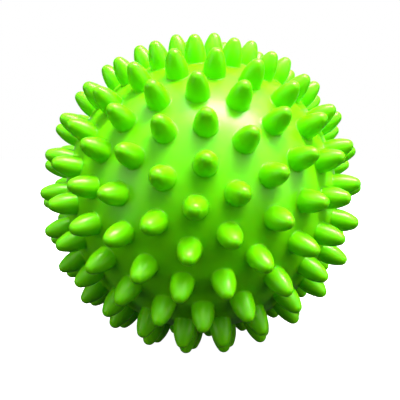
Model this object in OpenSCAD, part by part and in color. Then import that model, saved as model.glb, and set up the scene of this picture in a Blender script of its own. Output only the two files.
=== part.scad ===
// Spiky massage ball: a hollow soft plastic ball moulded as two halves with
// solid bullet-shaped spikes, closed by an air valve at its back pole.
//
// Millimetres, +Z up. The origin is the centre of the ball. The two halves
// meet on the plane Y = 0, the front half is on the -Y side, and the valve's
// axis is +Y. A row of spikes is a circle round the Y axis.

/* [Ball] */
// Diameter over the spike tips
ball_d = 90; // [84:1:100]
// Thickness of the moulded skin
wall = 3; // [2.4:0.1:4]

/* [Spikes] */
// Height of a spike above the skin
spike_h = 6.8; // [6:0.1:8]
// Diameter of a spike at its belly, where it is thickest
spike_d = 5.7; // [5:0.1:6]
// Height of the belly above the skin
belly_h = 0.9; // [0.6:0.1:1.4]
// Radius of a spike's rounded tip
spike_tip_r = 1.7; // [1.4:0.1:2.2]
// Angle from the pole's spike to the first row, the same as over the seam
pole_gap = 14.5; // [14:0.1:16]

/* [Seam] */
// How far the front half's spigot reaches into the back half
lap_depth = 2.5; // [1.5:0.1:4]
// Gap for the weld between the spigot and its recess
lap_gap = 0.05; // [0.03:0.01:0.1]

/* [Valve] */
// Diameter of the valve plug's stem
stem_d = 5.2; // [4.6:0.1:5.6]
// Diameter of the valve plug's head
head_d = 7.4; // [7:0.1:8]
// Diameter of the needle passage through the plug
needle_d = 2; // [1.6:0.1:2.4]
// Length of the plug's stem below its head
stem_l = 8; // [6:0.5:10]
// Running gap between the plug and its seat
plug_gap = 0.05; // [0.02:0.01:0.1]

/* [Hidden] */
$fn = 64;

lime = [0.42, 0.93, 0.03];
pale_lime = [0.55, 0.95, 0.2];

tip_r = ball_d / 2;
skin_r = tip_r - spike_h;
cavity_r = skin_r - wall;
lap_r = cavity_r + wall / 2;

// The rows of one half. A moulded row isn't quite even: its spikes drift
// along it, most of all in one direction. Each row is
// [how many spikes, first angle, drift, angle where the drift is greatest]
rows = [
    [6, 10.5, 2.3, 14],
    [12, 8.5, 1.8, 177],
    [17, 4, 3.7, 178],
    [22, 6.7, 0.4, 0],
    [25, 12.5, 0.2, 0],
    [26, 4, 1, 0],
];

// Half of the gap over the seam belongs to this half
row_step = (90 - 1.5 * pole_gap) / (len(rows) - 1);

// The spike's flank is an arc round the belly's level that meets the rounded
// tip smoothly
belly_r = spike_d / 2;
spike_root = 1.5;
nose_h = spike_h - spike_tip_r;
flank_rise = nose_h - belly_h;
flank_r = (belly_r ^ 2 - spike_tip_r ^ 2 + flank_rise ^ 2) / (2 * (belly_r - spike_tip_r));
flank_x = belly_r - flank_r;
meet_h = belly_h + flank_rise * flank_r / (flank_r - spike_tip_r);

// The valve, along the ball's radius
head_t = 1.2;
head_top = skin_r + 0.5;
head_sink = head_top - head_t;
collar_r = 4.8;
flange_r = 7;
flange_t = 1.2;
seat_lip = skin_r - 0.3;
seat_foot = cavity_r - flange_t;
stem_end = head_sink - stem_l;
grip_r = 2.2;
grip_depth = 0.4;

function row_angle(row) = pole_gap + row * row_step;

function spike_angle(row, i) =
    let (even = row[1] + i * 360 / row[0])
    even + row[2] * cos(even - row[3]);

// Puts children that stand along +Z at the skin, at an angle from the front pole
module on_skin(from_pole, round_y) {
    rotate([0, round_y, 0])
        rotate([90 - from_pole, 0, 0])
            translate([0, 0, skin_r])
                children();
}

// Half outline of a spike, its axis on Y, with its root inside the skin
module spike_outline() {
    intersection() {
        translate([flank_x, belly_h])
            circle(r = flank_r, $fn = 256);
        translate([0, -spike_root])
            square([belly_r, spike_root + meet_h]);
    }
    intersection() {
        translate([0, nose_h])
            circle(r = spike_tip_r);
        translate([0, meet_h])
            square([spike_tip_r, spike_h]);
    }
}

module spike() {
    rotate_extrude($fn = 32)
        spike_outline();
}

// All the rows of one half, on the -Y side
module spike_rows() {
    for (row = [0:len(rows) - 1])
        for (i = [0:rows[row][0] - 1])
            on_skin(row_angle(row), spike_angle(rows[row], i))
                spike();
}

// One half of the skin, on the -Y side of the parting plane
module half_skin() {
    intersection() {
        difference() {
            sphere(r = skin_r, $fn = 128);
            sphere(r = cavity_r, $fn = 128);
        }
        translate([-skin_r, -skin_r, -skin_r])
            cube([2 * skin_r, skin_r, 2 * skin_r]);
    }
}

// A round body along +Y, from y0 to y1
module along_y(y0, y1, r) {
    translate([0, y0, 0])
        rotate([-90, 0, 0])
            cylinder(h = y1 - y0, r = r);
}

// Front moulding: half skin, its rows, the pole spike and the welding spigot
module front_half() {
    color(lime)
        union() {
            half_skin();
            spike_rows();
            on_skin(0, 0)
                spike();
            difference() {
                along_y(-lap_depth, lap_depth, lap_r);
                along_y(-lap_depth - 1, lap_depth + 1, cavity_r - 0.2);
            }
        }
}

// Back moulding: the same half turned round, with a recess for the spigot and
// the valve's hole at its pole in place of a spike
module back_half() {
    color(lime)
        difference() {
            union() {
                rotate([0, 0, 180])
                    half_skin();
                rotate([0, 0, 180])
                    spike_rows();
            }
            along_y(-1, lap_depth + lap_gap, lap_r + lap_gap);
            along_y(cavity_r - 1, skin_r + 1, collar_r);
        }
}

// Collar bonded into the back half's hole, flanged on the inside
module valve_seat() {
    color(pale_lime)
        difference() {
            union() {
                along_y(seat_foot, seat_lip, collar_r);
                intersection() {
                    along_y(seat_foot, skin_r, flange_r);
                    sphere(r = cavity_r, $fn = 128);
                }
            }
            along_y(seat_foot - 1, seat_lip + 1, stem_d / 2 + plug_gap);
            along_y(head_sink - plug_gap, seat_lip + 1, head_d / 2 + plug_gap);
        }
}

// Soft plug that pulls out of the seat, with the passage for a pump needle
module valve_plug() {
    color(pale_lime)
        difference() {
            union() {
                along_y(stem_end, head_top, stem_d / 2);
                along_y(head_sink, head_top, head_d / 2);
            }
            along_y(stem_end - 1, head_top + 1, needle_d / 2);
            translate([0, head_top + grip_r - grip_depth, 0])
                sphere(r = grip_r, $fn = 48);
        }
}

front_half();
back_half();
valve_seat();
valve_plug();
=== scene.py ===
"""Looks for the spiky massage ball.

The two halves are drawn again as smooth closed meshes of soft vinyl. The valve's collar and plug stay
the frame's own solids, with new materials. The ball stands on a plain pale floor in soft studio light.
"""

import math

import bpy
import numpy as np
from mathutils import Matrix, Quaternion, Vector, geometry

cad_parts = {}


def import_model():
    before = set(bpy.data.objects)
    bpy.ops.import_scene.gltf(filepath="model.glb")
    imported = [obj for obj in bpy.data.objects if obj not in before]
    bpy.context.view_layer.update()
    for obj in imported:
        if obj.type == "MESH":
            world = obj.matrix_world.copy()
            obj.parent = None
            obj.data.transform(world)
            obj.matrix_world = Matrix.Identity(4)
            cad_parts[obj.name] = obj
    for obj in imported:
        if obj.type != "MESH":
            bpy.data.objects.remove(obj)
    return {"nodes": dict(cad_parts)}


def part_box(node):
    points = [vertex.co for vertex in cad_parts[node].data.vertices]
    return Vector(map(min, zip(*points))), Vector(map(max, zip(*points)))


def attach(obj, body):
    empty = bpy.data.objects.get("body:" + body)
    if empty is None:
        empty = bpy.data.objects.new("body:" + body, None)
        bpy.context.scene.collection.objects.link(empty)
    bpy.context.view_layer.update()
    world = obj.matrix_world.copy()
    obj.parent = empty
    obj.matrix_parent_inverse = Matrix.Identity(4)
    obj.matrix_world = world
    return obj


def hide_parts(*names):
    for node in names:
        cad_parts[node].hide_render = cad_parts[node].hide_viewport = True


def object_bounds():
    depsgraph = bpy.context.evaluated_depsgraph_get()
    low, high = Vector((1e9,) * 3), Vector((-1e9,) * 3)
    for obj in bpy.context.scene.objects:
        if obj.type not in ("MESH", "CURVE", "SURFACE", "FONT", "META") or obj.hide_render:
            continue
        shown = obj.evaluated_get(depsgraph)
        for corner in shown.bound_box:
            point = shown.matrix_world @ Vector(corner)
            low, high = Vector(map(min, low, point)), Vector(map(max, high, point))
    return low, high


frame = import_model()
cad_lo, cad_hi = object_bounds()

MM = 0.001

# ---------------------------------------------------------------- design sizes
TIP_R = -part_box("front_half")[0].y  # centre of the ball to a spike's tip
SPIKE_H = 6.8 * MM
SPIKE_R = 2.85 * MM
BELLY_H = 0.9 * MM
SPIKE_TIP_R = 1.7 * MM
SKIN_R = TIP_R - SPIKE_H
WALL = 3.0 * MM
CAVITY_R = SKIN_R - WALL
LAP_R = CAVITY_R + WALL / 2
LAP_DEPTH = 2.5 * MM
LAP_GAP = 0.05 * MM
# Angle from the pole's spike to the first row, the same as over the seam
POLE_GAP = 14.5
# Each row: how many spikes, the first one's angle, the drift and the angle where the drift is greatest
ROWS = [
    (6, 10.5, 2.3, 14),
    (12, 8.5, 1.8, 177),
    (17, 4, 3.7, 178),
    (22, 6.7, 0.4, 0),
    (25, 12.5, 0.2, 0),
    (26, 4, 1, 0),
]
ROW_STEP = (90 - 1.5 * POLE_GAP) / (len(ROWS) - 1)
# How far the spigot stands proud of the inside, and the radius of the valve's hole in the back half
SPIGOT_PROUD = 0.2 * MM
HOLE_R = 4.8 * MM

# ---------------------------------------------------------------- mesh detail
# Vertices round a spike, and round the seam
AROUND_SPIKE = 32
AROUND_BALL = 288
# Steps along a spike's fillet, flank and tip, along a rounded edge, and along the inside of a half
FILLET_STEPS = 4
FLANK_STEPS = 8
TIP_STEPS = 7
EDGE_STEPS = 3
INSIDE_STEPS = 20
# Radius of the fillet at a spike's foot, and how far its ring of skin reaches past it
FILLET_R = 0.3 * MM
SKIRT = 0.35 * MM
# Radius of the rounded edge at the seam, and half of the fine gap that is left there
RIM_R = 0.22 * MM
SEAM_GAP = 0.01 * MM
# Radius of the rounded edge of the valve's hole
HOLE_EDGE_R = 0.3 * MM
# Spacing of the vertices between the spikes, the area that each takes up in squares of that
# spacing, and how many spacings they keep off a spike's ring and off the seam
FILL_STEP = 1.15 * MM
FILL_SHARE = 0.87
FILL_OFF_RING = 0.55
FILL_OFF_SEAM = 0.6


def direction(from_pole, round_y):
    """Unit vector at an angle from the front pole, turned round Y, both in degrees."""
    c = math.radians(from_pole)
    t = math.radians(round_y)
    return np.array([math.sin(c) * math.sin(t), -math.cos(c), math.sin(c) * math.cos(t)])


def spike_axes():
    """The axes of one half's spikes, without the pole's."""
    axes = []
    for row, (count, first, drift, toward) in enumerate(ROWS):
        for i in range(count):
            even = first + i * 360 / count
            turn = even + drift * math.cos(math.radians(even - toward))
            axes.append(direction(POLE_GAP + row * ROW_STEP, turn))
    return axes


def arc(cx, cz, r, a0, a1, steps):
    """Points of an arc, from angle a0 to a1 in degrees, both ends included."""
    turns = np.radians(np.linspace(a0, a1, steps + 1))
    return [(cx + r * math.cos(a), cz + r * math.sin(a)) for a in turns]


def spike_profile():
    """A spike's outline from the skin up to its tip.

    Each point is (distance from the spike's axis, distance along the axis from the ball's centre).
    """
    nose = SPIKE_H - SPIKE_TIP_R - BELLY_H
    flank_r = (SPIKE_R**2 - SPIKE_TIP_R**2 + nose**2) / (2 * (SPIKE_R - SPIKE_TIP_R))
    flank_x = SPIKE_R - flank_r
    belly = SKIN_R + BELLY_H
    # The fillet's circle touches the flank's arc and the skin from outside
    from_flank = flank_r + FILLET_R
    from_ball = SKIN_R + FILLET_R
    apart = math.hypot(flank_x, belly)
    along = (from_flank**2 - from_ball**2 + apart * apart) / (2 * apart)
    off = math.sqrt(from_flank**2 - along**2)
    to_ball = (-flank_x / apart, -belly / apart)
    fillet_x = flank_x + along * to_ball[0] - off * to_ball[1]
    fillet_z = belly + along * to_ball[1] + off * to_ball[0]
    skin_touch = math.degrees(math.atan2(-fillet_z, -fillet_x)) % 360
    flank_touch = math.degrees(math.atan2(belly - fillet_z, flank_x - fillet_x)) % 360
    fillet = arc(fillet_x, fillet_z, FILLET_R, skin_touch, flank_touch, FILLET_STEPS)
    start = math.degrees(math.atan2(fillet[-1][1] - belly, fillet[-1][0] - flank_x))
    meet = math.degrees(math.atan2(nose, -flank_x))
    flank = arc(flank_x, belly, flank_r, start, meet, FLANK_STEPS)[1:]
    tip = arc(0, belly + nose, SPIKE_TIP_R, meet, 90, TIP_STEPS)[1:-1]
    foot = math.atan2(fillet[0][0], fillet[0][1]) + SKIRT / SKIN_R
    return [(SKIN_R * math.sin(foot), SKIN_R * math.cos(foot))] + fillet + flank + tip


def across(axis):
    """Two unit vectors square to axis and to each other."""
    up = np.array([0.0, 0.0, 1.0]) if abs(axis[2]) < 0.9 else np.array([1.0, 0.0, 0.0])
    u = np.cross(up, axis)
    u /= np.linalg.norm(u)
    return u, np.cross(axis, u)


class Shell:
    """Vertices and faces of a piece, gathered ring by ring."""

    def __init__(self):
        self.verts = []
        self.faces = []

    def add(self, points):
        """Adds vertices and gives back their numbers."""
        first = len(self.verts)
        self.verts.extend(points)
        return list(range(first, len(self.verts)))

    def ring(self, axis, r, z, count):
        """A circle of vertices of radius r round the axis, at a distance z along it."""
        u, v = across(axis)
        turns = [2 * math.pi * i / count for i in range(count)]
        return self.add([axis * z + (u * math.cos(a) + v * math.sin(a)) * r for a in turns])

    def join(self, low, high):
        """Quads between two rings of as many vertices."""
        n = len(low)
        for i in range(n):
            j = (i + 1) % n
            self.faces.append((low[i], low[j], high[j], high[i]))

    def cap(self, ring, point):
        """Triangles from a ring to one point."""
        (top,) = self.add([point])
        n = len(ring)
        for i in range(n):
            self.faces.append((ring[i], ring[(i + 1) % n], top))

    def piece(self, name, material):
        """The finished smooth object."""
        mesh = bpy.data.meshes.new(name)
        mesh.from_pydata([tuple(v) for v in self.verts], [], self.faces)
        mesh.validate()
        mesh.materials.append(material)
        obj = bpy.data.objects.new(name, mesh)
        bpy.context.scene.collection.objects.link(obj)
        mesh.polygons.foreach_set("use_smooth", [True] * len(mesh.polygons))
        return obj


def flat_map(p):
    """Stereographic map of the front half onto a disc, which keeps circles round."""
    q = p / np.linalg.norm(p)
    return (q[0] / (1 - q[1]), q[2] / (1 - q[1]))


def fill_points(axes, keep_off):
    """Evenly spread points on the front half's skin, clear of the spikes and the seam."""
    count = int(4 * math.pi * SKIN_R**2 / (FILL_STEP**2 * FILL_SHARE))
    i = np.arange(count) + 0.5
    y = 1 - 2 * i / count
    r = np.sqrt(1 - y * y)
    turn = i * math.pi * (3 - math.sqrt(5))
    pts = np.stack([r * np.cos(turn), y, r * np.sin(turn)], 1)
    pts = pts[pts[:, 1] < -(RIM_R + FILL_OFF_SEAM * FILL_STEP) / SKIN_R]
    near = pts @ np.array([a for a, _ in axes]).T
    clear = (near < np.cos(np.array([k for _, k in axes]) + keep_off)[None]).all(1)
    return pts[clear] * SKIN_R


def outer_skin(shell, holes, edge):
    """Triangles of the front half's skin between the closed rings in holes and the edge ring."""
    axes = [(axis, angle) for axis, angle, _ in holes]
    rings = [ring for _, _, ring in holes] + [edge]
    fill = shell.add(list(fill_points(axes, FILL_OFF_RING * FILL_STEP / SKIN_R)))
    used = [v for ring in rings for v in ring] + fill
    ring_of = {v: k for k, ring in enumerate(rings[:-1]) for v in ring}
    place = {v: i for i, v in enumerate(used)}
    flat = [Vector(flat_map(shell.verts[v])) for v in used]
    edges = [(place[r[i]], place[r[(i + 1) % len(r)]]) for r in rings for i in range(len(r))]
    _, _, faces, origin, _, _ = geometry.delaunay_2d_cdt(flat, edges, [], 0, 1e-9, True)
    for face in faces:
        ids = [used[origin[i][0]] for i in face]
        homes = {ring_of.get(v, -1) for v in ids}
        if len(homes) == 1 and -1 not in homes:
            continue  # it lies inside a single ring, under a spike
        a, b, c = (shell.verts[v] for v in ids)
        if np.dot(np.cross(b - a, c - a), a + b + c) < 0:
            ids.reverse()
        shell.faces.append(tuple(ids))


def half_skin(name, material, with_valve):
    """One moulded half on the -Y side, as one closed mesh of skin, spikes, seam edge and inside.

    With the valve it has the recess for the spigot and the valve's hole, and without it the spigot
    and the pole's spike.
    """
    shell = Shell()
    profile = spike_profile()
    skirt = math.atan2(*profile[0])
    pole = np.array([0.0, -1.0, 0.0])
    axes = spike_axes() + ([] if with_valve else [pole])
    holes = []
    for axis in axes:
        rings = [shell.ring(axis, r, z, AROUND_SPIKE) for r, z in profile]
        for low, high in zip(rings, rings[1:]):
            shell.join(low, high)
        shell.cap(rings[-1], axis * TIP_R)
        holes.append((axis, skirt, rings[0]))
    # The seam's edge and the inside are turned round Y: (radius, distance towards the front pole)
    edge_r = math.sqrt(SKIN_R**2 - RIM_R**2)
    rim = [(edge_r, RIM_R)] + arc(SKIN_R - RIM_R, RIM_R, RIM_R, 0, -90, EDGE_STEPS)[1:]
    rim[-1] = (rim[-1][0], SEAM_GAP)
    if with_valve:
        bore = LAP_R + LAP_GAP
        rim += [(bore, SEAM_GAP), (bore, LAP_DEPTH + LAP_GAP)]
        start = math.degrees(math.asin((LAP_DEPTH + LAP_GAP) / CAVITY_R))
        stop = math.degrees(math.acos(HOLE_R / CAVITY_R))
        inside = arc(0, 0, CAVITY_R, start, stop, INSIDE_STEPS)
    else:
        inner = CAVITY_R - SPIGOT_PROUD
        rim += [(LAP_R, SEAM_GAP), (LAP_R, -LAP_DEPTH), (inner, -LAP_DEPTH)]
        start = math.degrees(math.acos(inner / CAVITY_R))
        inside = arc(0, 0, CAVITY_R, start, 90, INSIDE_STEPS)[:-1]
    rings = [shell.ring(pole, r, z, AROUND_BALL) for r, z in rim + inside]
    for low, high in zip(rings, rings[1:]):
        shell.join(high, low)
    if with_valve:
        hole_angle = math.asin((HOLE_R + HOLE_EDGE_R) / SKIN_R)
        edge_z = SKIN_R * math.cos(hole_angle) - HOLE_EDGE_R
        previous = rings[-1]
        for r, z in arc(HOLE_R + HOLE_EDGE_R, edge_z, HOLE_EDGE_R, 180, 90, EDGE_STEPS):
            ring = shell.ring(pole, r, z, AROUND_BALL)
            shell.join(ring, previous)
            previous = ring
        holes.append((pole, hole_angle, previous))
    else:
        shell.cap(rings[-1][::-1], pole * CAVITY_R)
    outer_skin(shell, holes, rings[0])
    return shell.piece(name, material)


# ---------------------------------------------------------------- materials
ROUGHNESS_SPREAD = 0.04


def node(tree, kind, **values):
    """A new shader node, with each value set on its socket or property of that name."""
    made = tree.nodes.new(kind)
    for key, value in values.items():
        if key in made.inputs:
            made.inputs[key].default_value = value
        else:
            setattr(made, key, value)
    return made


def soft_vinyl(name, colour, deep, roughness, grain):
    """Soft vinyl that light goes a little way into, with faint swirls of colour and a fine grain."""
    material = bpy.data.materials.new(name)
    material.use_nodes = True
    tree = material.node_tree
    tree.nodes.clear()
    link = tree.links.new
    out = node(tree, "ShaderNodeOutputMaterial")
    bsdf = node(tree, "ShaderNodeBsdfPrincipled")
    bsdf.inputs["IOR"].default_value = 1.5
    bsdf.inputs["Specular IOR Level"].default_value = 0.42
    bsdf.inputs["Specular Tint"].default_value = (1.0, 1.0, 0.7, 1)
    bsdf.inputs["Subsurface Weight"].default_value = 1.0
    bsdf.inputs["Subsurface Radius"].default_value = (0.8, 1.0, 0.2)
    bsdf.inputs["Subsurface Scale"].default_value = 1.3 * MM
    place = node(tree, "ShaderNodeTexCoord")
    swirl = node(tree, "ShaderNodeTexNoise", Scale=90.0, Detail=3.0, Roughness=0.5)
    mix = node(tree, "ShaderNodeMix", data_type="RGBA")
    mix.inputs[6].default_value = (*deep, 1)
    mix.inputs[7].default_value = (*colour, 1)
    fine = node(tree, "ShaderNodeTexNoise", Scale=2600.0, Detail=2.0, Roughness=0.6)
    soft = node(tree, "ShaderNodeTexNoise", Scale=240.0, Detail=2.0, Roughness=0.5)
    rough = node(tree, "ShaderNodeMapRange")
    rough.inputs["To Min"].default_value = roughness - ROUGHNESS_SPREAD
    rough.inputs["To Max"].default_value = roughness + ROUGHNESS_SPREAD
    bump_soft = node(tree, "ShaderNodeBump", Strength=0.05, Distance=0.25 * MM)
    bump_fine = node(tree, "ShaderNodeBump", Strength=grain, Distance=0.02 * MM)
    for texture in (swirl, fine, soft):
        link(place.outputs["Object"], texture.inputs["Vector"])
    link(swirl.outputs["Fac"], mix.inputs[0])
    link(mix.outputs[2], bsdf.inputs["Base Color"])
    link(soft.outputs["Fac"], rough.inputs["Value"])
    link(rough.outputs["Result"], bsdf.inputs["Roughness"])
    link(soft.outputs["Fac"], bump_soft.inputs["Height"])
    link(fine.outputs["Fac"], bump_fine.inputs["Height"])
    link(bump_soft.outputs["Normal"], bump_fine.inputs["Normal"])
    link(bump_fine.outputs["Normal"], bsdf.inputs["Normal"])
    link(bsdf.outputs["BSDF"], out.inputs["Surface"])
    return material


skin = soft_vinyl("soft_vinyl_lime", (0.18, 0.74, 0.0), (0.165, 0.68, 0.0), 0.3, 0.15)
collar_vinyl = soft_vinyl("collar_vinyl", (0.14, 0.8, 0.01), (0.11, 0.72, 0.01), 0.42, 0.25)
plug_rubber = soft_vinyl("plug_rubber", (0.24, 0.8, 0.06), (0.2, 0.72, 0.05), 0.5, 0.4)

# ---------------------------------------------------------------- pieces
front = half_skin("front_skin", skin, with_valve=False)
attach(front, "ball")
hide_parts("front_half")

back = half_skin("back_skin", skin, with_valve=True)
back.data.transform(Matrix.Rotation(math.pi, 4, "Z"))
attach(back, "ball")
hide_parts("back_half")

for kept, material in (("valve_seat", collar_vinyl), ("valve_plug", plug_rubber)):
    frame["nodes"][kept].data.materials.clear()
    frame["nodes"][kept].data.materials.append(material)


# ---------------------------------------------------------------- set, light and camera
def floor():
    """A pale floor under the lowest spikes, bright enough to be as white as what is behind the ball."""
    mesh = bpy.data.meshes.new("floor")
    far = 3.0
    z = cad_lo.z
    corners = [(-far, -far, z), (far, -far, z), (far, far, z), (-far, far, z)]
    mesh.from_pydata(corners, [], [(0, 1, 2, 3)])
    obj = bpy.data.objects.new("floor", mesh)
    bpy.context.scene.collection.objects.link(obj)
    material = bpy.data.materials.new("pale_floor")
    material.use_nodes = True
    bsdf = material.node_tree.nodes["Principled BSDF"]
    bsdf.inputs["Base Color"].default_value = (0.9, 0.9, 0.9, 1)
    bsdf.inputs["Roughness"].default_value = 0.9
    bsdf.inputs["Emission Color"].default_value = (1, 1, 1, 1)
    bsdf.inputs["Emission Strength"].default_value = 1.0
    mesh.materials.append(material)
    obj.visible_diffuse = False
    obj.visible_glossy = False


def softbox(name, azimuth, elevation, distance, width, height, power, turn=0):
    """An area light that faces the ball, at an azimuth from -Y towards +X, turned about its own axis."""
    a = math.radians(azimuth)
    e = math.radians(elevation)
    away = Vector((math.sin(a) * math.cos(e), -math.cos(a) * math.cos(e), math.sin(e)))
    light = bpy.data.lights.new(name, "AREA")
    light.shape = "RECTANGLE"
    light.size, light.size_y = width, height
    light.energy = power
    obj = bpy.data.objects.new(name, light)
    obj.location = away * distance
    facing = away.to_track_quat("Z", "Y") @ Quaternion((0, 0, 1), math.radians(turn))
    obj.rotation_euler = facing.to_euler()
    bpy.context.scene.collection.objects.link(obj)


def world():
    """White behind the object, and a dim even light on it."""
    made = bpy.data.worlds.new("studio")
    bpy.context.scene.world = made
    made.use_nodes = True
    tree = made.node_tree
    tree.nodes.clear()
    out = node(tree, "ShaderNodeOutputWorld")
    seen = node(tree, "ShaderNodeBackground", Color=(1, 1, 1, 1), Strength=1.0)
    dim = node(tree, "ShaderNodeBackground", Color=(1, 1, 1, 1), Strength=0.03)
    path = node(tree, "ShaderNodeLightPath")
    mix = node(tree, "ShaderNodeMixShader")
    tree.links.new(path.outputs["Is Camera Ray"], mix.inputs["Fac"])
    tree.links.new(dim.outputs["Background"], mix.inputs[1])
    tree.links.new(seen.outputs["Background"], mix.inputs[2])
    tree.links.new(mix.outputs["Shader"], out.inputs["Surface"])


def camera():
    """In front of the ball, close to it and a little above its middle."""
    away = Vector((0.031, -1, 0.08)).normalized()
    distance = 0.157
    target = Vector((-0.00032, 0, -0.00192))
    data = bpy.data.cameras.new("camera")
    data.lens = 48.5
    data.clip_start = 0.01
    obj = bpy.data.objects.new("camera", data)
    obj.location = away * distance
    obj.rotation_euler = (obj.location - target).to_track_quat("Z", "Y").to_euler()
    bpy.context.scene.collection.objects.link(obj)
    bpy.context.scene.camera = obj


floor()
world()
softbox("overhead", 43, 66, 0.5, 0.36, 0.10, 5.2, turn=-43)
softbox("above", 20, 75, 0.9, 1.6, 1.6, 10.5)
softbox("high_left", -50, 36, 0.9, 1.4, 1.4, 2.9)
softbox("high_right", 60, 36, 0.9, 1.4, 1.4, 7.0)
softbox("left", -58, 0, 0.5, 0.20, 0.35, 0.36)
softbox("right", 72, 3, 0.5, 0.10, 0.35, 0.11)
softbox("behind", 180, 15, 0.9, 1.0, 1.0, 4.0)
camera()
bpy.context.scene.view_settings.view_transform = "Standard"
